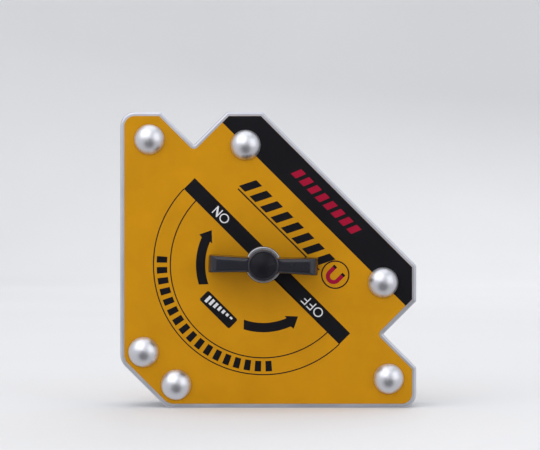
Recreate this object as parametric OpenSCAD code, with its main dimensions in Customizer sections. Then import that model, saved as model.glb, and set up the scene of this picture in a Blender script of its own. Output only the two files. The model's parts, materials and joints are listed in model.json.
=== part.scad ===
// Switchable multi-angle welding magnet holder: two steel pole plates riveted to a non-magnetic frame,
// with a fixed and a turning disc magnet between them. It stands upright on its long bottom edge.
// +X is to the right and +Z up as seen from the front, and the front face looks along -Y.
// The origin lies in the bottom face, under the switch axis, midway between the plates.

/* [Body outline] */
// Length of each side of the square that the outline is cut from
size = 102; // [90:1:130]
// Distance of the switch axis from the left edge and from the bottom edge
axis_in = 49.3; // [45:0.1:60]
// Distance from the outer corner to the start of the V notch
notch_start = 14; // [12:0.5:18]
// Width of the V notch at its mouth; the notch is a right angle, so it is half as deep
notch_w = 22.8; // [16:0.2:24]
// Distance along the edge at which the long diagonal starts
diagonal_start = 49.1; // [46:0.1:52]
// Leg of the cut-off inner corner
chamfer = 16; // [10:0.5:20]
// Radius of the two outer corners
outer_r = 5; // [2:0.5:8]
// Radius at the ends of the cut-off inner corner
chamfer_r = 6; // [2:0.5:10]

/* [Plates] */
// Thickness of each steel pole plate
plate_t = 4; // [3:0.5:6]
// Thickness of the frame between the plates
core_t = 20; // [20:0.5:24]
// Thickness of each printed face sheet
label_t = 0.4; // [0.2:0.1:0.8]
// Bare steel border round the face sheet
label_inset = 1.5; // [0.5:0.1:3]

/* [Rivets] */
// Rivet shank diameter
rivet_d = 6; // [4:0.5:8]
// Rivet head diameter
rivet_head_d = 10.5; // [8:0.1:12]
// Rivet head height
rivet_head_h = 3.6; // [2:0.1:5]
// Clearance round a shank, in the radius
shank_gap = 0.05; // [0.02:0.01:0.2]

/* [Magnets] */
// Diameter of each disc magnet
magnet_d = 39.9; // [30:0.1:40]
// Thickness of each disc magnet
magnet_t = 6.5; // [4:0.1:6.5]
// Inside radius of the pole shoes
shoe_bore_r = 21.25; // [20.5:0.05:22]
// Outside radius of the pole shoes
shoe_r = 29; // [26:0.5:31]
// Width of the strip between the two pole shoes
separator_w = 4; // [2:0.5:6]
// Thickness of the shim that keeps each shoe off the opposite plate
shim_t = 3; // [2:0.1:4]
// Wall of the cups that hold the magnets
cup_wall = 1; // [0.6:0.05:1]

/* [Switch] */
// Journal diameter of the shaft
journal_d = 7; // [6:0.5:8]
// Side of the square at the inner end of the shaft
square_w = 8; // [7.5:0.1:9]
// Diameter of the shaft inside the knob
spindle_d = 6; // [5:0.1:6.5]
// Radial running clearance of the shaft in its bush
bush_gap = 0.05; // [0.02:0.01:0.1]
// Bush outside diameter
bush_d = 10; // [9.5:0.5:11]
// Bush flange diameter
bush_flange_d = 12.4; // [11:0.1:16]
// Distance of the stop pin and the lock pin from the switch axis
pin_circle_r = 12; // [11.8:0.1:14]
// Diameter of the stop pin and of the lock pin
pin_d = 3; // [2:0.5:3]
// Angle that the knob stands clockwise of level at rest
rest_lean = 1.6; // [0:0.1:3]

/* [Knob] */
// Length over the two ends
knob_l = 37.6; // [30:0.1:45]
// Width of the bar at its ends
knob_tip_w = 6.4; // [5:0.1:9]
// Width of the bar beside the hub
knob_neck_w = 5.1; // [4:0.1:6]
// Diameter of the hub
hub_d = 10.6; // [10.2:0.1:14]
// Diameter of the cap on the hub
cap_d = 8.8; // [7:0.1:9.5]
// Height from the face sheet to the top of the bar
knob_h = 13.6; // [13:0.1:15]
// Bevel at the ends of the bar
knob_bevel = 2.2; // [0.5:0.1:3]

/* [Hidden] */
$fn = 96;
corner_shift = sqrt(2) - 1;
side_gap = 0.1;
through = 1;

core_y = core_t / 2;
plate_y = core_y + plate_t;
face_y = plate_y + label_t;
rivet_spots = [[10.1, 92.4], [43.2, 90.5], [8.1, 19.3]];
shank_r = rivet_d / 2;
hole_r = shank_r + shank_gap;

magnet_r = magnet_d / 2;
fixed_back_y = core_y - shim_t;
fixed_front_y = fixed_back_y - magnet_t;
slip_t = 0.5;
slip_front_y = fixed_front_y - slip_t;
turning_back_y = slip_front_y - side_gap;
turning_front_y = turning_back_y - magnet_t;
washer_t = 0.5;
carrier_front_y = -core_y + washer_t + side_gap;
cup_bore_r = magnet_r + 0.05;
pin_r = pin_d / 2;
pin_sink = 2.5;
pin_slot_gap = 0.2;
stop_pin_angle = 90;
lock_pin_angle = 0;

journal_r = journal_d / 2;
spindle_r = spindle_d / 2;
bush_flange_t = 1;
bush_face_y = -plate_y - bush_flange_t;
knob_base_y = bush_face_y - side_gap;
bar_base_y = -face_y - 1.2;
bar_top_y = -face_y - knob_h;
hub_top_y = bar_top_y - 1;
cap_dome_h = 1.5;
spindle_end_y = knob_base_y - 9;
web_t = 1.5;
screw_head_d = 5.5;
screw_head_h = 2;
screw_d = 3;
screw_l = 8;
flat_depth = 0.7;
groove_depth = 0.65;
groove_w = 1.2;
groove_y = -plate_y + 1.2;

// Placing helpers

// Extrudes a flat shape, drawn across X and Z, from depth y to depth y + t
module slab(y, t) {
    translate([0, y + t, 0]) rotate([90, 0, 0]) linear_extrude(t) children();
}

// The same, drawn about the switch axis
module axis_slab(y, t) {
    translate([0, 0, axis_in]) slab(y, t) children();
}

// A round pin along Y, centred at a point drawn across X and Z
module pin(at, r, y, t) {
    slab(y, t) translate(at) circle(r);
}

// The turning group, standing at its rest angle
module at_rest_angle() {
    translate([0, 0, axis_in]) rotate([0, rest_lean, 0]) children();
}

// The children and their mirror image across the diagonal of the outline
module both_halves() {
    children();
    mirror([1, -1, 0]) children();
}

function on_pin_circle(angle) = pin_circle_r * [cos(angle), sin(angle)] + [0, axis_in];

// Outline of the body, inset by a border

function upper_half(inset) = let (shift = corner_shift * inset, low = size - inset) [
    [diagonal_start - shift, low],
    [notch_start + notch_w + shift, low],
    [notch_start + notch_w / 2, size - notch_w / 2 - sqrt(2) * inset],
    [notch_start - shift, low],
    [inset, low],
    [inset, chamfer + shift]
];

function lower_half(inset) = let (half = upper_half(inset), last = len(half) - 1)
    [for (i = [last:-1:0]) [half[i][1], half[i][0]]];

// The sliver that rounding takes off a corner whose two edges leave it at angles a and b
module corner_sliver(at, a, b, r) {
    half = (b - a) / 2;
    centre = r / sin(half) * [cos(a + half), sin(a + half)];
    reach = r / tan(half);
    translate(at) difference() {
        polygon([[0, 0], reach * [cos(a), sin(a)], centre, reach * [cos(b), sin(b)]]);
        translate(centre) circle(r);
    }
}

module outline(inset) {
    half = upper_half(inset);
    translate([-axis_in, 0]) difference() {
        polygon(concat(half, lower_half(inset)));
        both_halves() {
            corner_sliver(half[4], -90, 0, outer_r - inset);
            corner_sliver(half[5], -45, 90, chamfer_r - inset);
        }
    }
}

module rivet_holes() {
    translate([-axis_in, 0]) both_halves() for (spot = rivet_spots) translate(spot) circle(hole_r);
}

// Body

module front_plate() {
    color("silver") difference() {
        slab(-plate_y, plate_t) difference() {
            outline(0);
            rivet_holes();
            translate([0, axis_in]) circle(bush_d / 2);
        }
        pin(on_pin_circle(stop_pin_angle), pin_r, -core_y - pin_sink, pin_sink + through);
    }
}

module rear_plate() {
    color("silver") difference() {
        slab(core_y, plate_t) difference() {
            outline(0);
            rivet_holes();
        }
        pin(on_pin_circle(lock_pin_angle), pin_r, core_y - through, pin_sink + through);
    }
}

module spacer_frame() {
    color("dimgray") slab(-core_y, core_t) difference() {
        outline(0);
        rivet_holes();
        translate([0, axis_in]) circle(shoe_r);
    }
}

module front_label() {
    color("goldenrod") slab(-face_y, label_t) difference() {
        outline(label_inset);
        rivet_holes();
        translate([0, axis_in]) circle(bush_flange_d / 2 + side_gap);
    }
}

module rear_label() {
    color("goldenrod") slab(plate_y, label_t) difference() {
        outline(label_inset);
        rivet_holes();
    }
}

// One domed rivet head that starts at height 0, drawn as the profile of a turned part
module rivet_head() {
    half_d = rivet_head_d / 2;
    dome_r = (half_d * half_d + rivet_head_h * rivet_head_h) / (2 * rivet_head_h);
    rotate_extrude() intersection() {
        translate([0, rivet_head_h - dome_r]) circle(dome_r);
        square([rivet_head_d, rivet_head_h]);
    }
}

module rivet() {
    rotate([90, 0, 0]) translate([0, 0, -face_y]) cylinder(r = shank_r, h = 2 * face_y);
    rotate([90, 0, 0]) translate([0, 0, face_y]) rivet_head();
    rotate([-90, 0, 0]) translate([0, 0, face_y]) rivet_head();
}

module rivets() {
    color("gainsboro") for (spot = rivet_spots, swap = [false, true])
        translate(swap ? [spot[1] - axis_in, 0, spot[0]] : [spot[0] - axis_in, 0, spot[1]]) rivet();
}

// Magnet unit

module shoe_ring() {
    difference() {
        circle(shoe_r);
        circle(shoe_bore_r);
    }
}

// The half of the shoe ring on one side of the separator strips; side is -1 for left and 1 for right
module half_shoe(side) {
    intersection() {
        shoe_ring();
        translate([side * (shoe_r + separator_w) / 2, 0]) square([shoe_r, 2 * shoe_r], center = true);
    }
}

module left_pole_shoe() {
    color("slategray") axis_slab(-core_y, core_t - shim_t) half_shoe(-1);
}

module right_pole_shoe() {
    color("slategray") axis_slab(-core_y + shim_t, core_t - shim_t) half_shoe(1);
}

module left_shim() {
    color("darkkhaki") axis_slab(core_y - shim_t, shim_t) half_shoe(-1);
}

module right_shim() {
    color("darkkhaki") axis_slab(-core_y, shim_t) half_shoe(1);
}

module separator_strips() {
    color("darkgoldenrod") axis_slab(-core_y, core_t) intersection() {
        shoe_ring();
        square([separator_w, 2 * shoe_r], center = true);
    }
}

module fixed_magnet() {
    color("lightsteelblue") axis_slab(fixed_front_y, magnet_t) circle(magnet_r);
}

module fixed_magnet_cup() {
    color("lightgray") difference() {
        axis_slab(fixed_front_y, core_y - fixed_front_y) circle(cup_bore_r + cup_wall);
        axis_slab(fixed_front_y - through, magnet_t + through) circle(cup_bore_r);
        pin(on_pin_circle(lock_pin_angle), pin_r, core_y - pin_sink, pin_sink + through);
    }
}

module lock_pin() {
    color("silver") pin(on_pin_circle(lock_pin_angle), pin_r, core_y - pin_sink, 2 * pin_sink);
}

module slip_disc() {
    color("white") axis_slab(slip_front_y, slip_t) circle(cup_bore_r + cup_wall);
}

module front_bush() {
    color("gainsboro") difference() {
        union() {
            axis_slab(-plate_y, plate_t) circle(bush_d / 2);
            axis_slab(bush_face_y, bush_flange_t) circle(bush_flange_d / 2);
        }
        axis_slab(bush_face_y - through, plate_t + bush_flange_t + 2 * through) circle(journal_r + bush_gap);
    }
}

module stop_pin() {
    color("silver") pin(on_pin_circle(stop_pin_angle), pin_r, -core_y - pin_sink, 2 * pin_sink);
}

// Turning group

module rotating_magnet() {
    color("lightsteelblue") at_rest_angle() slab(turning_front_y, magnet_t) circle(magnet_r);
}

// The arc slot that the stop pin stands in: half a turn, from the OFF stop to the ON stop
module stop_slot() {
    slot_r = pin_r + pin_slot_gap;
    rotate(stop_pin_angle - 45) {
        intersection() {
            difference() {
                circle(pin_circle_r + slot_r);
                circle(pin_circle_r - slot_r);
            }
            translate([0, -2 * pin_circle_r]) square([2 * pin_circle_r, 4 * pin_circle_r]);
        }
        for (side = [-1, 1]) translate([0, side * pin_circle_r]) circle(slot_r);
    }
}

module magnet_carrier() {
    carrier_r = cup_bore_r + cup_wall - 0.05;
    color("lightgray") at_rest_angle() difference() {
        slab(carrier_front_y, turning_back_y - carrier_front_y) circle(carrier_r);
        slab(turning_front_y, magnet_t + through) circle(cup_bore_r);
        slab(carrier_front_y - through, turning_front_y - carrier_front_y + 2 * through) {
            square(square_w + side_gap, center = true);
            stop_slot();
        }
    }
}

module thrust_washer() {
    color("white") at_rest_angle() slab(carrier_front_y - washer_t, washer_t) difference() {
        circle(pin_circle_r - pin_r - 2 * pin_slot_gap);
        circle(square_w / 2 * sqrt(2) + side_gap);
    }
}

// The D-shaped section of the spindle; grow is the clearance for the hole in the knob
module spindle_section(grow) {
    difference() {
        circle(spindle_r + grow);
        translate([-spindle_d, spindle_r - flat_depth + grow]) square([2 * spindle_d, spindle_d]);
    }
}

module switch_shaft() {
    color("silver") at_rest_angle() difference() {
        union() {
            slab(carrier_front_y, turning_front_y - carrier_front_y) square(square_w, center = true);
            slab(knob_base_y, carrier_front_y - knob_base_y) circle(journal_r);
            slab(spindle_end_y, knob_base_y - spindle_end_y) spindle_section(0);
        }
        slab(spindle_end_y - through, screw_l + through) circle(screw_d / 2);
        slab(groove_y, groove_w) difference() {
            circle(journal_d);
            circle(journal_r - groove_depth);
        }
    }
}

module shaft_seal() {
    color("black") at_rest_angle() slab(groove_y + side_gap / 2, groove_w - side_gap) difference() {
        circle(journal_r);
        circle(journal_r - groove_depth);
    }
}

// Knob

// Bow-tie plan of the bar, narrowest at the hub
module bar_plan() {
    half_l = knob_l / 2;
    polygon([[-half_l, -knob_tip_w / 2], [0, -knob_neck_w / 2], [half_l, -knob_tip_w / 2],
        [half_l, knob_tip_w / 2], [0, knob_neck_w / 2], [-half_l, knob_tip_w / 2]]);
}

// Side view of the bar across X and Y, with both ends bevelled towards the top
module bar_side() {
    half_l = knob_l / 2;
    polygon([[-half_l, bar_base_y], [half_l, bar_base_y],
        [half_l, bar_top_y + knob_bevel], [half_l - knob_bevel, bar_top_y],
        [knob_bevel - half_l, bar_top_y], [-half_l, bar_top_y + knob_bevel]]);
}

module knob() {
    web_y = spindle_end_y - web_t;
    color([0.1, 0.1, 0.12]) at_rest_angle() difference() {
        union() {
            intersection() {
                slab(bar_top_y, bar_base_y - bar_top_y) bar_plan();
                translate([0, 0, -knob_tip_w]) linear_extrude(2 * knob_tip_w) bar_side();
            }
            slab(hub_top_y, knob_base_y - hub_top_y) circle(hub_d / 2);
        }
        slab(spindle_end_y, knob_base_y - spindle_end_y + through) spindle_section(shank_gap);
        slab(web_y - through, web_t + 2 * through) circle(screw_d / 2 + side_gap);
        slab(hub_top_y - through, web_y - hub_top_y + through) circle(screw_head_d / 2 + 4 * side_gap);
    }
}

module knob_cap() {
    half_d = cap_d / 2;
    dome_r = (half_d * half_d + cap_dome_h * cap_dome_h) / (2 * cap_dome_h);
    color([0.1, 0.1, 0.12]) at_rest_angle() {
        translate([0, hub_top_y, 0]) rotate([90, 0, 0]) rotate_extrude() intersection() {
            translate([0, cap_dome_h - dome_r]) circle(dome_r);
            square([cap_d, cap_dome_h]);
        }
        slab(hub_top_y, 1) circle(screw_head_d / 2 + 3 * side_gap);
    }
}

module knob_screw() {
    seat_y = spindle_end_y - web_t;
    color("silver") at_rest_angle() difference() {
        union() {
            slab(seat_y - screw_head_h, screw_head_h) circle(screw_head_d / 2);
            slab(seat_y, screw_l) circle(screw_d / 2 - 0.02);
        }
        slab(seat_y - screw_head_h, screw_head_h - 0.8) circle(2.5 / sqrt(3), $fn = 6);
    }
}

front_plate();
rear_plate();
spacer_frame();
front_label();
rear_label();
rivets();
left_pole_shoe();
right_pole_shoe();
left_shim();
right_shim();
separator_strips();
fixed_magnet();
fixed_magnet_cup();
lock_pin();
slip_disc();
front_bush();
stop_pin();
rotating_magnet();
magnet_carrier();
thrust_washer();
switch_shaft();
shaft_seal();
knob();
knob_cap();
knob_screw();
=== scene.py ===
"""Looks of a switchable multi-angle welding magnet holder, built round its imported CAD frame.

Everything is in metres. +X is to the right and +Z up, and the printed front with its knob looks along -Y.
Flat shapes are drawn as (x, z) points. Those of the printed dial are in millimetres about the switch axis.
"""
import json
import math

import bmesh
import bpy
from mathutils import Matrix, Vector
from mathutils.geometry import tessellate_polygon


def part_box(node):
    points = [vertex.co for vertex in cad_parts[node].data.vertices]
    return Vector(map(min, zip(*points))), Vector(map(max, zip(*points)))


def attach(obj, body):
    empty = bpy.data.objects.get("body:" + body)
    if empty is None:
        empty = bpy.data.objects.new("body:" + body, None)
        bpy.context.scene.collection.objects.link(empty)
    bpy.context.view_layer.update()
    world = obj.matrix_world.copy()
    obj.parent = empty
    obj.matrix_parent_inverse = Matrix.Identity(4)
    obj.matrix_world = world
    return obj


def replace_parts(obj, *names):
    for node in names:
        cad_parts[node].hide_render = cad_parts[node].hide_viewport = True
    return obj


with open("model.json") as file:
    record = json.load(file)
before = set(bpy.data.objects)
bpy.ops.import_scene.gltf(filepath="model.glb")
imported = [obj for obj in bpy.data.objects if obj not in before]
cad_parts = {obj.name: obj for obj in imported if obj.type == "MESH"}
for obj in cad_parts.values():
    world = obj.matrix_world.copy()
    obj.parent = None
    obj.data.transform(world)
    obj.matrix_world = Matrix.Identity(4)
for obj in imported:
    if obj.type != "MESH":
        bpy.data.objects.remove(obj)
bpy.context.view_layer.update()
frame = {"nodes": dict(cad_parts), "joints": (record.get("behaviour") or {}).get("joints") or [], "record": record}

MM = 0.001
ROOT_2 = math.sqrt(2)
HOLDER, SWITCH = "holder", "switch"

# Sizes that the frame gives
PLATE_LOW, PLATE_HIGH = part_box("front_plate")
CORE_LOW, CORE_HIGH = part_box("spacer_frame")
LABEL_LOW, LABEL_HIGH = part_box("front_label")
BUSH_LOW, BUSH_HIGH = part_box("front_bush")
RIVETS_LOW, RIVETS_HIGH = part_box("rivets")
KNOB_LOW, KNOB_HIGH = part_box("knob")
CAP_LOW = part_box("knob_cap")[0]
STRIPS_LOW, STRIPS_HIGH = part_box("separator_strips")
AXIS = Vector(frame["joints"][0]["pos_m"]).xz
SIDE = PLATE_HIGH.x - PLATE_LOW.x
FACE_Y = LABEL_LOW.y
REAR_FACE_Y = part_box("rear_label")[1].y
LABEL_INSET = LABEL_LOW.x - PLATE_LOW.x

# Outline of the body, as (distance from the left, distance from the bottom, corner radius)
NOTCH_START = 14 * MM
NOTCH_WIDTH = 22.8 * MM
DIAGONAL_START = 49.1 * MM
CHAMFER = 16 * MM
OUTER_RADIUS = 5 * MM
CHAMFER_RADIUS = 6 * MM
CORNER_RADIUS = 0.9 * MM
VALLEY_RADIUS = 0.25 * MM
LEAST_RADIUS = 0.02 * MM
ARC_STEPS = 10

# Edges
PLATE_EDGE = 0.8 * MM
SEAM = 0.3 * MM
LABEL_EDGE = 0.04 * MM
FLAT_START = 0.12 * MM

# Rivets and bush
RIVET_SHANK = 3 * MM
RIVET_BORE = 3.05 * MM
RIVET_RIM = 0.75 * MM
RIVET_RIM_LEAN = 0.16 * MM
BUSH_BORE = 3.55 * MM
BUSH_STEM = 5 * MM
BUSH_EDGE = 0.3 * MM
BUSH_MARGIN = 0.1 * MM

# Print
INK = 0.025 * MM

# Knob. The lengths and widths of its bar are halves.
REST_LEAN = math.radians(1.6)
HUB_RADIUS = 5.3 * MM
CAP_RADIUS = 4.4 * MM
BAR_HALF = 18.8 * MM
BAR_TIP = 3.2 * MM
BAR_NECK = 2.55 * MM
BAR_DRAFT = 0.3 * MM
BAR_EDGE = 1.25 * MM
BAR_BEVEL_HEIGHT = 2.2 * MM
BAR_BEVEL_LENGTH = 1.7 * MM
BAR_CORNER = 0.8 * MM
LEAST_CORNER = 0.12 * MM
HUB_FILLET = 1.3 * MM
HUB_RISE = 1.0 * MM
HUB_EDGE = 0.6 * MM
HUB_LIP = 0.15 * MM
KNOB_FOOT = 0.15 * MM
KNOB_BORE = 3.05 * MM
KNOB_BORE_DEPTH = 9 * MM
CAP_GAP = 0.06 * MM
CAP_DEPTH = 0.9 * MM

# The grain of a turned metal, which runs in rings round the switch axis
TURNED = "turned"


# Meshes

class Shell:
    """The points and faces of one closed piece."""

    def __init__(self):
        self.points, self.faces = [], []

    def ring(self, flat, y):
        """Adds a closed loop of (x, z) points at depth y and returns their numbers."""
        start = len(self.points)
        self.points += [(p[0], y, p[1]) for p in flat]
        return list(range(start, len(self.points)))

    def wall(self, a, b):
        """Joins two loops of the same length."""
        for i in range(len(a)):
            j = (i + 1) % len(a)
            self.faces.append((a[i], a[j], b[j], b[i]))

    def cap(self, outer, *holes):
        """Closes a flat loop, leaving its holes open."""
        loops = [outer, *holes]
        flat = [[Vector((self.points[i][0], self.points[i][2])) for i in loop] for loop in loops]
        numbers = [i for loop in loops for i in loop]
        self.faces += [tuple(numbers[i] for i in t) for t in tessellate_polygon(flat)]

    def tip(self, loop, y):
        """Closes a loop to a point on its middle, at depth y."""
        middle = sum((Vector(self.points[i]) for i in loop), Vector()) / len(loop)
        self.points.append((middle.x, y, middle.z))
        for i in range(len(loop)):
            self.faces.append((loop[i], loop[(i + 1) % len(loop)], len(self.points) - 1))


def piece(name, shells, material, body, smooth=32):
    """One object made of closed shells, riding on a body. Edges sharper than smooth degrees stay crisp.
    """
    mesh = bpy.data.meshes.new(name)
    points, faces = [], []
    for shell in shells:
        faces += [tuple(i + len(points) for i in face) for face in shell.faces]
        points += shell.points
    mesh.from_pydata(points, [], faces)
    made = bmesh.new()
    made.from_mesh(mesh)
    bmesh.ops.recalc_face_normals(made, faces=made.faces)
    made.to_mesh(mesh)
    made.free()
    mesh.shade_smooth()
    mesh.set_sharp_from_angle(angle=math.radians(smooth))
    mesh.materials.append(MATERIALS[material])
    obj = bpy.data.objects.new(name, mesh)
    bpy.context.scene.collection.objects.link(obj)
    weighted = obj.modifiers.new("even_shading", "WEIGHTED_NORMAL")
    weighted.keep_sharp = True
    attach(obj, body)
    return obj


def circle(centre, radius, steps=64):
    turn = 2 * math.pi / steps
    return [(centre[0] + radius * math.cos(i * turn), centre[1] + radius * math.sin(i * turn))
            for i in range(steps)]


def lathe(centre, profile, closed=False, steps=64):
    """A turned piece along Y.

    Its profile is (radius, y) points, which start and end on the axis unless closed.
    """
    shell = Shell()
    inner = profile if closed else profile[1:-1]
    rings = [shell.ring(circle(centre, r, steps), y) for r, y in inner]
    for a, b in zip(rings, rings[1:]):
        shell.wall(a, b)
    if closed:
        shell.wall(rings[-1], rings[0])
    else:
        shell.tip(rings[0], profile[0][1])
        shell.tip(rings[-1], profile[-1][1])
    return shell


def quarter(centre, radius, start, end, steps=6):
    """(radius, y) points of a rounded edge in a profile, between two angles in degrees."""
    return [(centre[0] + radius * math.cos(math.radians(start + (end - start) * i / steps)),
             centre[1] + radius * math.sin(math.radians(start + (end - start) * i / steps)))
            for i in range(steps + 1)]


# Outline of the body

def inset_corners(corners, inset):
    """The corners of an outline that runs anticlockwise, moved inwards, with their radii kept concentric."""
    moved = []
    for i, (x, z, radius) in enumerate(corners):
        here = Vector((x, z))
        before = (here - Vector(corners[i - 1][:2])).normalized()
        after = (Vector(corners[(i + 1) % len(corners)][:2]) - here).normalized()
        normals = Vector((-before.y, before.x)), Vector((-after.y, after.x))
        here += (normals[0] + normals[1]) * inset / (1 + normals[0].dot(normals[1]))
        convex = before.cross(after) > 0
        moved.append((here.x, here.y, max(radius - inset, LEAST_RADIUS) if convex else radius + inset))
    return moved


def rounded(corners, steps=ARC_STEPS):
    """The points of an outline with every corner turned into an arc of its radius."""
    points = []
    for i, (x, z, radius) in enumerate(corners):
        here = Vector((x, z))
        before = (here - Vector(corners[i - 1][:2])).normalized()
        after = (Vector(corners[(i + 1) % len(corners)][:2]) - here).normalized()
        turn = math.atan2(before.cross(after), before.dot(after))
        start = here - before * radius * math.tan(abs(turn) / 2)
        side = math.copysign(1, turn)
        centre = start + Vector((-before.y, before.x)) * radius * side
        for k in range(steps + 1):
            points.append(centre + Matrix.Rotation(turn * k / steps, 2) @ (start - centre))
    return points


def body_corners():
    upper = [
        (DIAGONAL_START, SIDE, CORNER_RADIUS),
        (NOTCH_START + NOTCH_WIDTH, SIDE, CORNER_RADIUS),
        (NOTCH_START + NOTCH_WIDTH / 2, SIDE - NOTCH_WIDTH / 2, VALLEY_RADIUS),
        (NOTCH_START, SIDE, CORNER_RADIUS),
        (0, SIDE, OUTER_RADIUS),
        (0, CHAMFER, CHAMFER_RADIUS),
    ]
    lower = [(z, x, radius) for x, z, radius in reversed(upper)]
    return [(PLATE_LOW.x + x, PLATE_LOW.z + z, radius) for x, z, radius in upper + lower]


def outline(inset):
    return rounded(inset_corners(body_corners(), inset))


def grown_flat(end):
    """One more ring just inside the edge of a flat face, so that the rounding's shading stops there."""
    inset, y = end
    return (inset + FLAT_START, y)


def slab(profile, holes=()):
    """A plate with the body's outline.

    Its profile is (inset, y) points from front to back. Its holes are (centre, radius).
    """
    shell = Shell()
    profile = [grown_flat(profile[0]), *profile, grown_flat(profile[-1])]
    rings = [shell.ring(outline(inset), y) for inset, y in profile]
    for a, b in zip(rings, rings[1:]):
        shell.wall(a, b)
    bores = []
    for centre, radius in holes:
        ends = [shell.ring(circle(centre, radius), profile[i][1]) for i in (0, -1)]
        shell.wall(*ends)
        bores.append(ends)
    shell.cap(rings[0], *[front for front, back in bores])
    shell.cap(rings[-1], *[back for front, back in bores])
    return shell


def rivet_centres():
    """The six rivets' places, from the separate solids of the CAD node."""
    made = bmesh.new()
    made.from_mesh(frame["nodes"]["rivets"].data)
    bmesh.ops.remove_doubles(made, verts=made.verts, dist=1e-6)
    left, centres = set(made.verts), []
    while left:
        group, edge = set(), [left.pop()]
        while edge:
            vert = edge.pop()
            group.add(vert)
            fresh = {e.other_vert(vert) for e in vert.link_edges} - group
            edge += fresh
            group |= fresh
        left -= group
        xs, zs = [v.co.x for v in group], [v.co.z for v in group]
        centres.append(((min(xs) + max(xs)) / 2, (min(zs) + max(zs)) / 2))
    made.free()
    return sorted(centres)


# Materials

def node(tree, kind, settings=None, **inputs):
    """Adds a shader node. Each input is a constant or the socket that feeds it."""
    made = tree.nodes.new(kind)
    for name, value in (settings or {}).items():
        setattr(made, name, value)
    for name, value in inputs.items():
        socket = made.inputs[name.replace("_", " ")]
        if isinstance(value, bpy.types.NodeSocket):
            tree.links.new(value, socket)
        else:
            socket.default_value = value
    return made


def noise(tree, stretch, scale=1, detail=4, roughness=0.55, turn=(0, 0, 0)):
    """Noise whose grain is stretched along the axes; stretch is in cycles a metre."""
    coords = node(tree, "ShaderNodeTexCoord").outputs["Object"]
    mapped = node(tree, "ShaderNodeMapping", Vector=coords, Scale=stretch, Rotation=turn)
    return node(tree, "ShaderNodeTexNoise", Vector=mapped.outputs[0], Scale=scale, Detail=detail,
                Roughness=roughness).outputs[0]


def turning_marks(tree, scale, detail=4):
    """Noise in rings round the switch axis, as a lathe tool leaves it."""
    coords = node(tree, "ShaderNodeTexCoord").outputs["Object"]
    split = node(tree, "ShaderNodeSeparateXYZ", Vector=coords)
    up = add(tree, split.outputs["Z"], AXIS.y, "SUBTRACT")
    radius = add(tree, add(tree, split.outputs["X"], 2, "POWER"), add(tree, up, 2, "POWER"))
    radius = add(tree, radius, 0.5, "POWER")
    place = node(tree, "ShaderNodeCombineXYZ", X=radius, Y=split.outputs["Y"])
    return node(tree, "ShaderNodeTexNoise", Vector=place.outputs[0], Scale=scale, Detail=detail).outputs[0]


def between(tree, value, low, high, from_low=0.3, from_high=0.7):
    """Maps the range from_low to from_high of a value onto low to high."""
    return node(tree, "ShaderNodeMapRange", Value=value, From_Min=from_low, From_Max=from_high,
                To_Min=low, To_Max=high).outputs[0]


def blend_colours(tree, value, colours, places):
    ramp = node(tree, "ShaderNodeValToRGB", Fac=value)
    stops = ramp.color_ramp.elements
    while len(stops) < len(colours):
        stops.new(0.5)
    for stop, colour, place in zip(stops, colours, places):
        stop.color = (*colour, 1)
        stop.position = place
    return ramp.outputs[0]


def add(tree, a, b, operation="ADD"):
    """Adds a maths node, which adds its two inputs unless another operation is given."""
    made = tree.nodes.new("ShaderNodeMath")
    made.operation = operation
    for socket, value in zip(made.inputs, (a, b)):
        if isinstance(value, bpy.types.NodeSocket):
            tree.links.new(value, socket)
        else:
            socket.default_value = value
    return made.outputs[0]


def bump(tree, height, strength, depth):
    return node(tree, "ShaderNodeBump", Height=height, Strength=strength, Distance=depth).outputs[0]


def scaled(colour, factor):
    return tuple(channel * factor for channel in colour)


def new_material(name):
    material = bpy.data.materials.new(name)
    material.use_nodes = True
    tree = material.node_tree
    return material, tree, tree.nodes["Principled BSDF"]


def scratches(tree, turn, share=0.62):
    """Thin straight marks, 0 between them and 1 on them."""
    lines = noise(tree, (2600, 2600, 26), detail=2, roughness=0.4, turn=turn)
    patches = noise(tree, (35, 35, 35), detail=2)
    marks = between(tree, lines, 0, 1, share, share + 0.05)
    return add(tree, marks, between(tree, patches, 0, 1, 0.45, 0.65), "MULTIPLY")


def metal(name, colour, roughness, grain, grain_depth=0.004 * MM, spread=0.12, mottle=0.86, cloudy=0.5,
          marks=True):
    """Bare metal: a grain in the bump and roughness, a cloudy tone, and a few fine scratches.

    The grain is in cycles a metre along the axes, or TURNED.
    """
    fine_share, coarse_share, contrast = 0.45, 0.6, 0.3
    material, tree, shader = new_material(name)
    if grain == TURNED:
        fine, coarse = turning_marks(tree, 3200), turning_marks(tree, 500)
    else:
        fine = noise(tree, grain, detail=5)
        coarse = noise(tree, [scale / 7 for scale in grain], detail=2)
    cloud = noise(tree, (55, 55, 55), detail=3)
    tone = add(tree, add(tree, cloud, cloudy, "MULTIPLY"), add(tree, fine, fine_share, "MULTIPLY"))
    tone = add(tree, tone, add(tree, coarse, coarse_share, "MULTIPLY"))
    middle = (cloudy + fine_share + coarse_share) / 2
    shades = [scaled(colour, mottle), colour, scaled(colour, 1 / mottle)]
    tone = between(tree, tone, 0, 1, middle - contrast, middle + contrast)
    tree.links.new(blend_colours(tree, tone, shades, (0, 0.5, 1)), shader.inputs["Base Color"])
    dull = between(tree, fine, roughness - spread / 2, roughness + spread / 2)
    height = add(tree, fine, coarse)
    if marks:
        lines = scratches(tree, (0.3, 0.8, 0.2))
        dull = add(tree, dull, add(tree, lines, 0.12, "MULTIPLY"))
        height = add(tree, height, add(tree, lines, 0.6, "MULTIPLY"), "SUBTRACT")
    tree.links.new(dull, shader.inputs["Roughness"])
    tree.links.new(bump(tree, height, 0.6, grain_depth), shader.inputs["Normal"])
    shader.inputs["Metallic"].default_value = 1
    return material


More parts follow.
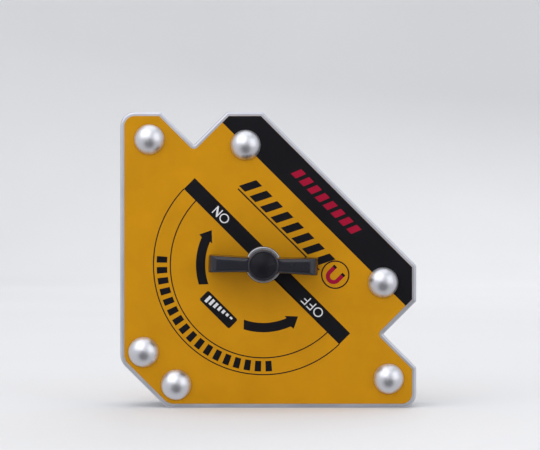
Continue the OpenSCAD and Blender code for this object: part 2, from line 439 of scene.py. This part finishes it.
def coated(name, colour, roughness, speckle=2400, depth=0.0015 * MM, gloss=0.5, tint=0.94, scuffs=0.1):
    """Plastic, print or film: an even colour, slightly clouded, with a fine surface and light scuffs."""
    material, tree, shader = new_material(name)
    cloud = noise(tree, (70, 70, 70), detail=4)
    shades = [scaled(colour, tint), colour, scaled(colour, 1 / tint)]
    tree.links.new(blend_colours(tree, cloud, shades, (0.3, 0.5, 0.7)), shader.inputs["Base Color"])
    skin = noise(tree, (speckle,) * 3, detail=3)
    dull = between(tree, noise(tree, (160, 160, 160), detail=5), roughness - 0.05, roughness + 0.07)
    dull = add(tree, dull, add(tree, scratches(tree, (0.2, 1.1, 0.5)), scuffs, "MULTIPLY"))
    tree.links.new(dull, shader.inputs["Roughness"])
    tree.links.new(bump(tree, skin, 0.5, depth), shader.inputs["Normal"])
    shader.inputs["Specular IOR Level"].default_value = gloss
    return material


def make_materials():
    ground = (110, 4200, 110)
    return {
        "plate_steel": metal("plate_steel", (0.68, 0.69, 0.75), 0.46, ground,
                             grain_depth=0.006 * MM),
        "frame_aluminium": metal("frame_aluminium", (0.44, 0.445, 0.45), 0.5, (70, 2800, 70),
                                 grain_depth=0.008 * MM, mottle=0.78, cloudy=0.4),
        "label_yellow": coated("label_yellow", (0.562, 0.252, 0.0015), 0.34, gloss=0.12),
        "ink_black": coated("ink_black", (0.0070, 0.0070, 0.0092), 0.36, gloss=0.11, tint=0.85),
        "ink_white": coated("ink_white", (0.72, 0.72, 0.74), 0.4, gloss=0.25),
        "ink_red": coated("ink_red", (0.33, 0.003, 0.028), 0.38, gloss=0.12),
        "rivet_aluminium": metal("rivet_aluminium", (0.78, 0.785, 0.83), 0.35, (900, 900, 900),
                                 mottle=0.93, spread=0.08),
        "pole_steel": metal("pole_steel", (0.33, 0.33, 0.34), 0.42, TURNED),
        "brass": metal("brass", (0.62, 0.45, 0.17), 0.34, ground),
        "magnet_nickel": metal("magnet_nickel", (0.62, 0.61, 0.58), 0.18, (700, 700, 700),
                               mottle=0.95),
        "cup_aluminium": metal("cup_aluminium", (0.62, 0.63, 0.64), 0.32, TURNED),
        "stainless": metal("stainless", (0.52, 0.52, 0.53), 0.26, TURNED),
        "slip_plastic": coated("slip_plastic", (0.78, 0.78, 0.76), 0.5),
        "bush_chrome": metal("bush_chrome", (0.55, 0.56, 0.59), 0.22, TURNED,
                             grain_depth=0.001 * MM, mottle=0.95, marks=False),
        "seal_rubber": coated("seal_rubber", (0.018, 0.018, 0.018), 0.7),
        "knob_black": coated("knob_black", (0.013, 0.013, 0.020), 0.16, speckle=800,
                             depth=0.0008 * MM, tint=0.85, scuffs=0.06),
        "cap_black": coated("cap_black", (0.008, 0.008, 0.012), 0.3, speckle=1600,
                            gloss=0.14, tint=0.85),
    }


# Steel body

def rivet_bores():
    return [(centre, RIVET_BORE) for centre in rivet_centres()]


def make_body():
    rivets = rivet_bores()
    bush = (AXIS, BUSH_STEM)
    edge = quarter((PLATE_EDGE, PLATE_EDGE), PLATE_EDGE, 270, 180)
    front = [(inset, PLATE_LOW.y + y) for inset, y in edge]
    front += [(0, CORE_LOW.y - SEAM), (SEAM, CORE_LOW.y)]
    rear = [(inset, -y) for inset, y in reversed(front)]
    core = [(SEAM, CORE_LOW.y), (0, CORE_LOW.y + SEAM), (0, CORE_HIGH.y - SEAM), (SEAM, CORE_HIGH.y)]
    chamber = (AXIS, (STRIPS_HIGH.z - STRIPS_LOW.z) / 2)
    front_plate = piece("front_pole_plate", [slab(front, [*rivets, bush])], "plate_steel", HOLDER)
    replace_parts(front_plate, "front_plate")
    rear_plate = piece("rear_pole_plate", [slab(rear, rivets)], "plate_steel", HOLDER)
    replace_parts(rear_plate, "rear_plate")
    cast_frame = piece("cast_frame", [slab(core, [*rivets, chamber])], "frame_aluminium", HOLDER)
    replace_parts(cast_frame, "spacer_frame")


def make_labels():
    rivets = rivet_bores()
    bush = (AXIS, (BUSH_HIGH.x - BUSH_LOW.x) / 2 + BUSH_MARGIN)
    front = [(LABEL_INSET + LABEL_EDGE, FACE_Y), (LABEL_INSET, FACE_Y + LABEL_EDGE),
             (LABEL_INSET, LABEL_HIGH.y)]
    rear = [(inset, -y) for inset, y in reversed(front)]
    front_sheet = piece("front_face_sheet", [slab(front, [*rivets, bush])], "label_yellow", HOLDER)
    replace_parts(front_sheet, "front_label")
    rear_sheet = piece("rear_face_sheet", [slab(rear, rivets)], "label_yellow", HOLDER)
    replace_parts(rear_sheet, "rear_label")


def make_rivets():
    """Domed on both sides, on a short straight rim where the die pressed the head down on the sheet."""
    height = RIVETS_HIGH.y - REAR_FACE_Y
    radius = rivet_radius()
    rim = RIVET_RIM
    foot = rim / 8
    crown = radius - RIVET_RIM_LEAN
    dome = (crown ** 2 + (height - rim) ** 2) / (2 * (height - rim))
    reach = math.asin(crown / dome)
    head = [(dome * math.sin(a), -RIVETS_HIGH.y + dome * (1 - math.cos(a)))
            for a in [reach * i / 20 for i in range(21)]]
    head += [(radius, FACE_Y - rim * 0.75), (radius, FACE_Y - foot), (radius - foot, FACE_Y),
             (RIVET_SHANK, FACE_Y)]
    profile = head + [(r, -y) for r, y in reversed(head)]
    shells = [lathe(centre, profile, steps=72) for centre in rivet_centres()]
    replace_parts(piece("domed_rivets", shells, "rivet_aluminium", HOLDER, smooth=60), "rivets")


def rivet_radius():
    xs = sorted(centre[0] for centre in rivet_centres())
    return xs[0] - RIVETS_LOW.x


def make_bush():
    radius = (BUSH_HIGH.x - BUSH_LOW.x) / 2
    edge = BUSH_EDGE
    top = quarter((radius - edge, BUSH_LOW.y + edge), edge, 270, 360)
    profile = [(BUSH_BORE, BUSH_LOW.y + edge), (BUSH_BORE + edge, BUSH_LOW.y), *top, (radius, PLATE_LOW.y),
               (BUSH_STEM, PLATE_LOW.y), (BUSH_STEM, BUSH_HIGH.y), (BUSH_BORE, BUSH_HIGH.y)]
    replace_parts(piece("shaft_bush", [lathe(AXIS, profile, closed=True)], "bush_chrome", HOLDER), "front_bush")


# Knob

def at_rest(points):
    """Knob points about the axis, turned to the angle at which the knob stands."""
    turn = Matrix.Rotation(-REST_LEAN, 2)
    return [AXIS + turn @ Vector(p) for p in points]


def bar_quarter(inset, setback):
    """A quarter of the knob's plan, from one corner along the bar and round the hub."""
    slope = (BAR_TIP - BAR_NECK) / BAR_HALF
    end = BAR_HALF - inset - setback
    neck = BAR_NECK - inset
    corner_radius = max(BAR_CORNER - inset, LEAST_CORNER)
    corners = [(0, 0, 0), (end, 0, 0), (end, neck + slope * end, corner_radius), (0, neck, 0)]
    steps = 6
    corner = rounded(corners, steps)[2 * (steps + 1):3 * (steps + 1)]
    fillet = HUB_FILLET + inset
    across = neck + slope * HUB_RADIUS + fillet
    along_bar = math.sqrt((HUB_RADIUS + fillet) ** 2 - across ** 2)
    meet = math.atan2(across, along_bar)
    bottom = -math.pi / 2
    hollow = [(along_bar + fillet * math.cos(a), across + fillet * math.sin(a))
              for a in [bottom + (meet - math.pi - bottom) * i / steps for i in range(steps + 1)]]
    turns = 10
    hub = [(HUB_RADIUS * math.cos(a), HUB_RADIUS * math.sin(a))
           for a in [meet + (math.pi / 2 - meet) * i / turns for i in range(1, turns)]]
    return [tuple(p) for p in corner] + hollow + hub


def bar_plan(inset, setback):
    part = bar_quarter(inset, setback)
    half = part + [(0, HUB_RADIUS)] + [(-x, z) for x, z in reversed(part)]
    return half + [(-x, -z) for x, z in half]


def bar_profile(base_y, top_y):
    """(inset, y) of the knob's bar from base to flat top, with a slight draft and rounded upper edges."""
    side, rounds = 6, 8
    walls = base_y - KNOB_FOOT - (top_y + BAR_EDGE)
    profile = [(KNOB_FOOT, base_y)]
    profile += [(BAR_DRAFT * i / side, base_y - KNOB_FOOT - walls * i / side) for i in range(side + 1)]
    profile += [(BAR_DRAFT + BAR_EDGE * (1 - math.cos(a)), top_y + BAR_EDGE * (1 - math.sin(a)))
                for a in [math.pi / 2 * i / rounds for i in range(1, rounds + 1)]]
    profile.append(grown_flat(profile[-1]))
    return profile


def make_knob():
    base_y, top_y = KNOB_HIGH.y, KNOB_LOW.y + HUB_RISE
    shell = Shell()
    rings = []
    for inset, y in bar_profile(base_y, top_y):
        setback = max(0, 1 - (y - top_y) / BAR_BEVEL_HEIGHT) * BAR_BEVEL_LENGTH
        rings.append(shell.ring(at_rest(bar_plan(inset, setback)), y))
    for a, b in zip(rings, rings[1:]):
        shell.wall(a, b)
    mouth = shell.ring(circle(AXIS, KNOB_BORE), base_y)
    floor = shell.ring(circle(AXIS, KNOB_BORE), base_y - KNOB_BORE_DEPTH)
    shell.wall(mouth, floor)
    shell.cap(floor)
    shell.cap(rings[0], mouth)
    shell.cap(rings[-1])
    shoulder = quarter((HUB_RADIUS - HUB_EDGE, KNOB_LOW.y + HUB_EDGE), HUB_EDGE, 360, 270)
    lip = quarter((CAP_RADIUS + HUB_LIP, KNOB_LOW.y + HUB_LIP), HUB_LIP, 270, 180, 3)
    hub = [(CAP_RADIUS, top_y + BAR_EDGE), (HUB_RADIUS, top_y + BAR_EDGE), *shoulder, *lip]
    bar = piece("knob_bar", [shell, lathe(AXIS, hub, closed=True)], "knob_black", SWITCH, smooth=28)
    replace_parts(bar, "knob")


def make_cap():
    rise = KNOB_LOW.y - CAP_LOW.y
    radius = CAP_RADIUS - CAP_GAP
    dome = (radius ** 2 + rise ** 2) / (2 * rise)
    reach = math.asin(radius / dome)
    top = [(dome * math.sin(a), CAP_LOW.y + dome * (1 - math.cos(a)))
           for a in [reach * i / 16 for i in range(17)]]
    profile = [*top, (radius, KNOB_LOW.y + CAP_DEPTH), (0, KNOB_LOW.y + CAP_DEPTH)]
    cap = piece("knob_dome", [lathe(AXIS, profile)], "cap_black", SWITCH, smooth=40)
    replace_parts(cap, "knob_cap")


# Print: flat shapes in millimetres about the switch axis

def polar(radius, degrees):
    angle = math.radians(degrees)
    return (radius * math.cos(angle), radius * math.sin(angle))


def along(s, t):
    """A point in the direction of the dial's bar: s towards the lower right, t towards the upper right."""
    return ((t + s) / ROOT_2, (t - s) / ROOT_2)


def arc(radius, start, end, step=2):
    count = max(2, math.ceil(abs(end - start) / step))
    return [polar(radius, start + (end - start) * i / count) for i in range(count + 1)]


def arc_band(low, high, start, end):
    return arc(high, start, end) + arc(low, end, start)


def row_of_blocks(count, start, pitch, t, width, height, slant):
    return [[block(start + pitch * i, t, width, height, slant)] for i in range(count)]


def block(s, t, width, height, slant=0):
    """A parallelogram along the bar's direction, centred at (s, t)."""
    lean = slant * height / 2
    return [along(s - width / 2 - lean, t - height / 2), along(s + width / 2 - lean, t - height / 2),
            along(s + width / 2 + lean, t + height / 2), along(s - width / 2 + lean, t + height / 2)]


def pill(s, t, width, height, radius):
    w, h = width / 2, height / 2
    corners = [(s - w, t - h, radius), (s + w, t - h, radius), (s + w, t + h, radius), (s - w, t + h, radius)]
    return [along(*p) for p in rounded(corners, 5)]


def bent_line(points, width):
    """One outline round a line with corners."""
    points = [Vector(p) for p in points]
    ways = [(q - p).normalized() for p, q in zip(points, points[1:])]
    left, right = [], []
    for here, before, after in zip(points, [ways[0], *ways], [*ways, ways[-1]]):
        a, b = before.orthogonal(), after.orthogonal()
        side = (a + b) * width / 2 / (1 + a.dot(b))
        left.append(here + side)
        right.append(here - side)
    return left + right[::-1]


def placed(shapes, place):
    """Shapes drawn upright about their own middle, moved by a function of x and z."""
    return [[[place(x, z) for x, z in loop] for loop in shape] for shape in shapes]


def dial_place(s, t):
    """The way the dial's words read: towards -s, with their tops to -t."""
    return lambda x, z: along(s - x, t - z)


def rear_place(across, up):
    """Upright, and the right way round as seen from behind."""
    return lambda x, z: (-across - x, up + z)


GLYPH_HEIGHT = 3.2
GLYPH_STROKE = 0.4


def glyph_o(x):
    overshoot, widening = 0.05, 1.02
    half = GLYPH_HEIGHT / 2 + overshoot
    ring = [polar(1, a) for a in range(0, 360, 10)]
    wide, tall = half * widening, half
    return [[(x + wide * c, tall * s) for c, s in ring],
            [(x + (wide - GLYPH_STROKE) * c, (tall - GLYPH_STROKE) * s) for c, s in ring]]


def glyph_n(x):
    h, w, b = GLYPH_HEIGHT / 2, 1.22, GLYPH_STROKE
    slip, dip = b * 1.12, 1.05
    return [[(x - w, -h), (x - w + b, -h), (x - w + b, h - dip), (x + w - slip, -h), (x + w, -h), (x + w, h),
             (x + w - b, h), (x + w - b, -h + dip), (x - w + slip, h), (x - w, h)]]


def glyph_f(x):
    h, w, b = GLYPH_HEIGHT / 2, 1.0, GLYPH_STROKE
    arm_end, arm_low, arm_high = x + w * 0.78, -b / 2 - 0.02, b / 2 - 0.02
    return [[(x - w, -h), (x - w + b, -h), (x - w + b, arm_low), (arm_end, arm_low), (arm_end, arm_high),
             (x - w + b, arm_high), (x - w + b, h - b), (x + w, h - b), (x + w, h), (x - w, h)]]


def bar_mark(x, height):
    """One upright bar of a row that stands on a common line."""
    low, half = -1.35, 0.5
    return [[(x - half, low), (x + half, low), (x + half, low + height), (x - half, low + height)]]


def angle_icon(degrees, size, width):
    """A workpiece line, a second one at an angle to it, and an arc between them."""
    low, overhang, arc_low = -size / 2, 0.12 * size, size * 0.42
    corner = Vector((overhang if degrees > 90 else low, low))
    arm = size * (0.9 if degrees > 90 else 1.15 if degrees < 90 else 1)
    tip = corner + Vector(polar(arm, degrees))
    lines = [[bent_line([(size / 2 + overhang, low), corner, tip], width)]]
    sweep = arc_band(arc_low, arc_low + width * 0.45, 7, degrees - 7)
    return lines + [[[corner + Vector(p) for p in sweep]]]


def ink(name, shapes, slot, layer=1, rear=False):
    """A layer of print on a face sheet. Each shape is an outline followed by its holes, in millimetres."""
    shells = []
    sheet_y, top_y = (REAR_FACE_Y, REAR_FACE_Y + layer * INK) if rear else (FACE_Y, FACE_Y - layer * INK)
    bottom_y = sheet_y + (top_y - sheet_y) * (layer - 1.4) / layer
    for shape in shapes:
        shell = Shell()
        loops = [[AXIS + Vector(p) * MM for p in loop] for loop in shape]
        tops = [shell.ring(loop, top_y) for loop in loops]
        bottoms = [shell.ring(loop, bottom_y) for loop in loops]
        for a, b in zip(tops, bottoms):
            shell.wall(a, b)
        shell.cap(*tops)
        shell.cap(*bottoms)
        shells.append(shell)
    return piece(name, shells, slot, HOLDER, smooth=25)


def beyond(points, limit):
    """The part of an outline where x + z is over the limit."""
    kept = []
    for i, here in enumerate(points):
        before = points[i - 1]
        over, was_over = sum(here) - limit, sum(before) - limit
        if (over > 0) != (was_over > 0):
            kept.append(before + (here - before) * was_over / (was_over - over))
        if over > 0:
            kept.append(here)
    return kept


BAND_START = 34.9
BAR_LOW, BAR_HIGH = -0.85, 4.45
# The hole for the bush is wider than the bar and crosses its outline.
BUSH_CLEAR = 6.33
DIAL_RADIUS, DIAL_INNER = 37.8, 32.0
LINE = 0.38
TICK_INNER, TICK_OUTER = 33.1, 36.7
TICK_COUNT, TICK_START, TICK_STEP, TICK_HALF = 17, 177, 6, 1.75
ARROW_INNER, ARROW_OUTER = 20.0, 23.2
ON_PLACE, OFF_PLACE = -22.4, 22.1
PILL_T, PILL_WIDTH, PILL_HEIGHT, PILL_CORNER = -21.8, 14.4, 4.4, 0.7
PILL_BARS, PILL_BAR_START, PILL_BAR_PITCH = 7, -5.1, 1.7
PILL_BAR_LEAST, PILL_BAR_STEP = 0.7, 0.33
HAZARD_ROW = dict(count=8, start=-22.3, pitch=5.1, t=16.1, width=2.9, height=5.6, slant=0.5)
HAZARD_RULE = dict(s=-4.9, t=12.35, width=39.6, height=0.5)
RED_ROW = dict(count=8, start=-13.6, pitch=3.86, t=30.7, width=2.4, height=3.6, slant=0.4)
BADGE_PLACE = (19.9, 15.1)


def band_shape():
    edge = [(p - AXIS) / MM for p in outline(LABEL_INSET + LABEL_EDGE / 2)]
    return [beyond(edge, BAND_START)]


def arrow(mirrored):
    """A curved arrow along the dial, towards OFF, or towards ON when mirrored."""
    tip, inner_barb, outer_barb = (11.95, -17.75), (7.35, -17.6), (10.45, -22.0)
    points = [polar(ARROW_INNER, 250.5)] + arc(ARROW_INNER, 252, 293.5)
    points += [inner_barb, tip, outer_barb]
    points += arc(ARROW_OUTER, 294, 253)
    return [(z, x) for x, z in points] if mirrored else points


def make_front_print():
    ink("print_band", [band_shape()], "ink_black")
    bar_middle, bar_height = (BAR_LOW + BAR_HIGH) / 2, BAR_HIGH - BAR_LOW
    hole = [polar(BUSH_CLEAR, a) for a in range(0, 360, 6)]
    bar = block(0, bar_middle, 2 * DIAL_RADIUS, bar_height)
    ink("print_dial_bar", [[bar, hole]], "ink_black")
    start = 135 - math.degrees(math.asin(BAR_LOW / DIAL_RADIUS))
    end = 450 - start
    lines = [arc_band(r - LINE / 2, r + LINE / 2, start, end) for r in (DIAL_RADIUS, DIAL_INNER)]
    ink("print_dial_arcs", [[line] for line in lines], "ink_black")
    ink("print_arrow_off", [[arrow(False)]], "ink_black")
    ink("print_arrow_on", [[arrow(True)]], "ink_black")
    ticks = []
    for i in range(TICK_COUNT):
        middle = TICK_START + i * TICK_STEP
        ticks.append([arc_band(TICK_INNER, TICK_OUTER, middle - TICK_HALF, middle + TICK_HALF)])
    ink("print_scale", ticks, "ink_black")
    words = [glyph_o(-1.6), glyph_n(1.75)]
    ink("print_on", placed(words, dial_place(ON_PLACE, bar_middle)), "ink_white", layer=2)
    words = [glyph_o(-2.75), glyph_f(0.55), glyph_f(3.2)]
    ink("print_off", placed(words, dial_place(OFF_PLACE, bar_middle)), "ink_white", layer=2)
    ink("print_pill", [[pill(0, PILL_T, PILL_WIDTH, PILL_HEIGHT, PILL_CORNER)]], "ink_black")
    bars = [bar_mark(PILL_BAR_START + PILL_BAR_PITCH * i, PILL_BAR_LEAST + PILL_BAR_STEP * i)
            for i in range(PILL_BARS)]
    ink("print_pill_marks", placed(bars, dial_place(0, PILL_T)), "ink_white", layer=2)
    hazard = row_of_blocks(**HAZARD_ROW)
    hazard.append([block(**HAZARD_RULE)])
    ink("print_hazard_row", hazard, "ink_black")
    ink("print_red_row", row_of_blocks(**RED_ROW), "ink_red", layer=2)
    make_magnet_badge("print_badge", dial_place(*BADGE_PLACE), 1)


def make_magnet_badge(name, place, scale, rear=False):
    """A plain ring with a horseshoe magnet in it."""
    ring, ring_width = 4.68, 0.45
    outer, inner, bend_height, foot, tip = 2.7, 1.25, 0.8, -1.4, -2.25
    bend = arc(outer, 0, 180, 8) + arc(inner, 180, 0, 8)
    half = len(bend) // 2
    bend = [(x, z + bend_height) for x, z in bend]
    magnet = [(outer, foot), *bend[:half], (-outer, foot), (-inner, foot), *bend[half:], (inner, foot)]
    ends = [[[(a, tip), (b, tip), (b, foot), (a, foot)]] for a, b in ((-outer, -inner), (inner, outer))]
    rings = [[arc(ring + side * ring_width / 2, 0, 354, 6) for side in (1, -1)]]

    def sized(shapes):
        grown = [[[(x * scale, z * scale) for x, z in loop] for loop in shape] for shape in shapes]
        return placed(grown, place)

    ink(f"{name}_ring", sized(rings), "ink_black", rear=rear)
    ink(f"{name}_magnet", sized([[magnet]]), "ink_red", rear=rear)
    ink(f"{name}_ends", sized(ends), "ink_black", rear=rear)


def make_rear_print():
    """The black corner band again, the three working angles as plain icons, and a row of slanted blocks."""
    ink("rear_print_band", [band_shape()], "ink_black", rear=True)
    icon_size, icon_line, icons_up = 13, 1.5, -17
    icons = []
    for across, degrees in ((-24, 45), (0, 90), (24, 135)):
        icons += placed(angle_icon(degrees, icon_size, icon_line), rear_place(across, icons_up))
    ink("rear_print_angles", icons, "ink_black", rear=True)
    make_magnet_badge("rear_print_badge", rear_place(6, 10), 2, rear=True)
    low, high = -38, -33.5
    row = [[[(x - 2.6, low), (x + 0.6, low), (x + 2.6, high), (x - 0.6, high)]] for x in range(-20, 24, 5)]
    ink("rear_print_hazard_row", placed(row, rear_place(0, 0)), "ink_black", rear=True)


# Stage, light and camera

STAGE_RADIUS, COVE_RADIUS, STAGE_HEIGHT = 2.4, 0.9, 1.8
CAMERA_DISTANCE = 0.72
VIEW_WIDTH = 0.1858
AIM = Vector((2.3 * MM, 0, 63 * MM))
SENSOR_WIDTH_MM = 36.0

# Name, place, (width, height) and power in watts of each light
LIGHTS = (
    ("key_light", (-0.75, -1.1, 1.15), (2.1, 1.7), 11.2),
    ("fill_light", (1.2, -1.0, 0.6), (1.2, 1.4), 3.6),
    ("top_light", (0, -0.1, 1.7), (1.6, 1.2), 3.4),
    ("back_light", (0.4, 1.6, 1.0), (1.2, 1.0), 5.5),
)


def stage_piece(name, profile, tone):
    """A surface turned about Z from (radius, height) points, for the floor and the wall round it."""
    steps = 96
    turn = 2 * math.pi / steps
    points = [(r * math.cos(k * turn), r * math.sin(k * turn), z) for r, z in profile for k in range(steps)]
    faces = [(a + k, b + k, b + (k + 1) % steps, a + (k + 1) % steps)
             for a, b in zip(range(0, len(points), steps), range(steps, len(points), steps))
             for k in range(steps)]
    is_floor = profile[0][1] == 0 and profile[-1][1] == 0
    if is_floor:
        faces.append(tuple(range(steps)))
    mesh = bpy.data.meshes.new(name)
    mesh.from_pydata(points, [], faces)
    mesh.shade_smooth()
    material, tree, shader = new_material(name)
    cloud = noise(tree, (3, 3, 3), detail=2)
    colour = blend_colours(tree, cloud, [scaled(tone, 0.97), tone], (0.3, 0.7))
    tree.links.new(colour, shader.inputs["Base Color"])
    shader.inputs["Roughness"].default_value = 0.85
    mesh.materials.append(material)
    obj = bpy.data.objects.new(name, mesh)
    bpy.context.scene.collection.objects.link(obj)
    return obj


def make_stage():
    """A round pale floor that curves up into a wall all round, open at the top."""
    flat = STAGE_RADIUS - COVE_RADIUS
    tone = (0.86, 0.86, 0.865)
    floor = stage_piece("studio_floor", [(flat * i / 6, 0) for i in range(1, 7)], tone)
    cove = [(flat + COVE_RADIUS * math.sin(a), COVE_RADIUS * (1 - math.cos(a)))
            for a in [math.pi / 2 * i / 16 for i in range(17)]]
    wall = stage_piece("studio_wall", [*cove, (STAGE_RADIUS, STAGE_HEIGHT)], tone)
    floor.visible_glossy = False
    wall.visible_glossy = False


def area_light(name, place, aim, size, power):
    lamp = bpy.data.lights.new(name, "AREA")
    lamp.shape = "RECTANGLE"
    lamp.size, lamp.size_y = size
    lamp.energy = power
    obj = bpy.data.objects.new(name, lamp)
    obj.location = place
    obj.rotation_euler = (Vector(aim) - Vector(place)).to_track_quat("-Z", "Y").to_euler()
    obj.visible_camera = False
    bpy.context.scene.collection.objects.link(obj)


def make_lights():
    middle = (0, 0, 0.05)
    for name, place, size, power in LIGHTS:
        area_light(name, place, middle, size, power)
    make_world()
    bpy.context.scene.view_settings.view_transform = "Standard"


def make_world():
    """A pale room that the metals mirror, with a dark patch low in front of the holder and one low behind."""
    low, horizon, high = (0.60, 0.60, 0.62), (0.66, 0.665, 0.69), (0.63, 0.64, 0.67)
    patch_strength, patch_start, patch_full = 0.3, 0.80, 0.89
    world = bpy.data.worlds.new("studio")
    world.use_nodes = True
    tree = world.node_tree
    direction = node(tree, "ShaderNodeTexCoord").outputs["Generated"]
    split = node(tree, "ShaderNodeSeparateXYZ", Vector=direction)
    height = between(tree, split.outputs["Z"], 0, 1, -0.5, 0.5)
    room = blend_colours(tree, height, [low, horizon, high], (0, 0.5, 1))
    patch = Vector((1, -0.5)).normalized()
    away = add(tree, add(tree, split.outputs["Y"], 0, "ABSOLUTE"), patch.x, "MULTIPLY")
    nearness = add(tree, away, add(tree, split.outputs["Z"], patch.y, "MULTIPLY"))
    strength = between(tree, nearness, 1, patch_strength, patch_start, patch_full)
    background = tree.nodes["Background"]
    tree.links.new(room, background.inputs["Color"])
    tree.links.new(strength, background.inputs["Strength"])
    bpy.context.scene.world = world


def make_camera():
    camera = bpy.data.cameras.new("camera")
    camera.sensor_width = SENSOR_WIDTH_MM
    camera.lens = SENSOR_WIDTH_MM * CAMERA_DISTANCE / VIEW_WIDTH
    obj = bpy.data.objects.new("camera", camera)
    obj.location = (AIM.x, FACE_Y - CAMERA_DISTANCE, AIM.z)
    obj.rotation_euler = (math.pi / 2, 0, 0)
    bpy.context.scene.collection.objects.link(obj)
    bpy.context.scene.camera = obj


MATERIALS = make_materials()


def finish_cad_nodes():
    """Gives every CAD node the finish of its slot. Those that no piece replaces stay inside the holder."""
    for part in frame["record"]["subparts"]:
        shown = frame["nodes"][part["node"]]
        shown.data.materials.clear()
        shown.data.materials.append(MATERIALS[part["material_slot"]])


make_camera()
make_stage()
make_lights()
finish_cad_nodes()
make_body()
make_labels()
make_rivets()
make_bush()
make_knob()
make_cap()
make_front_print()
make_rear_print()
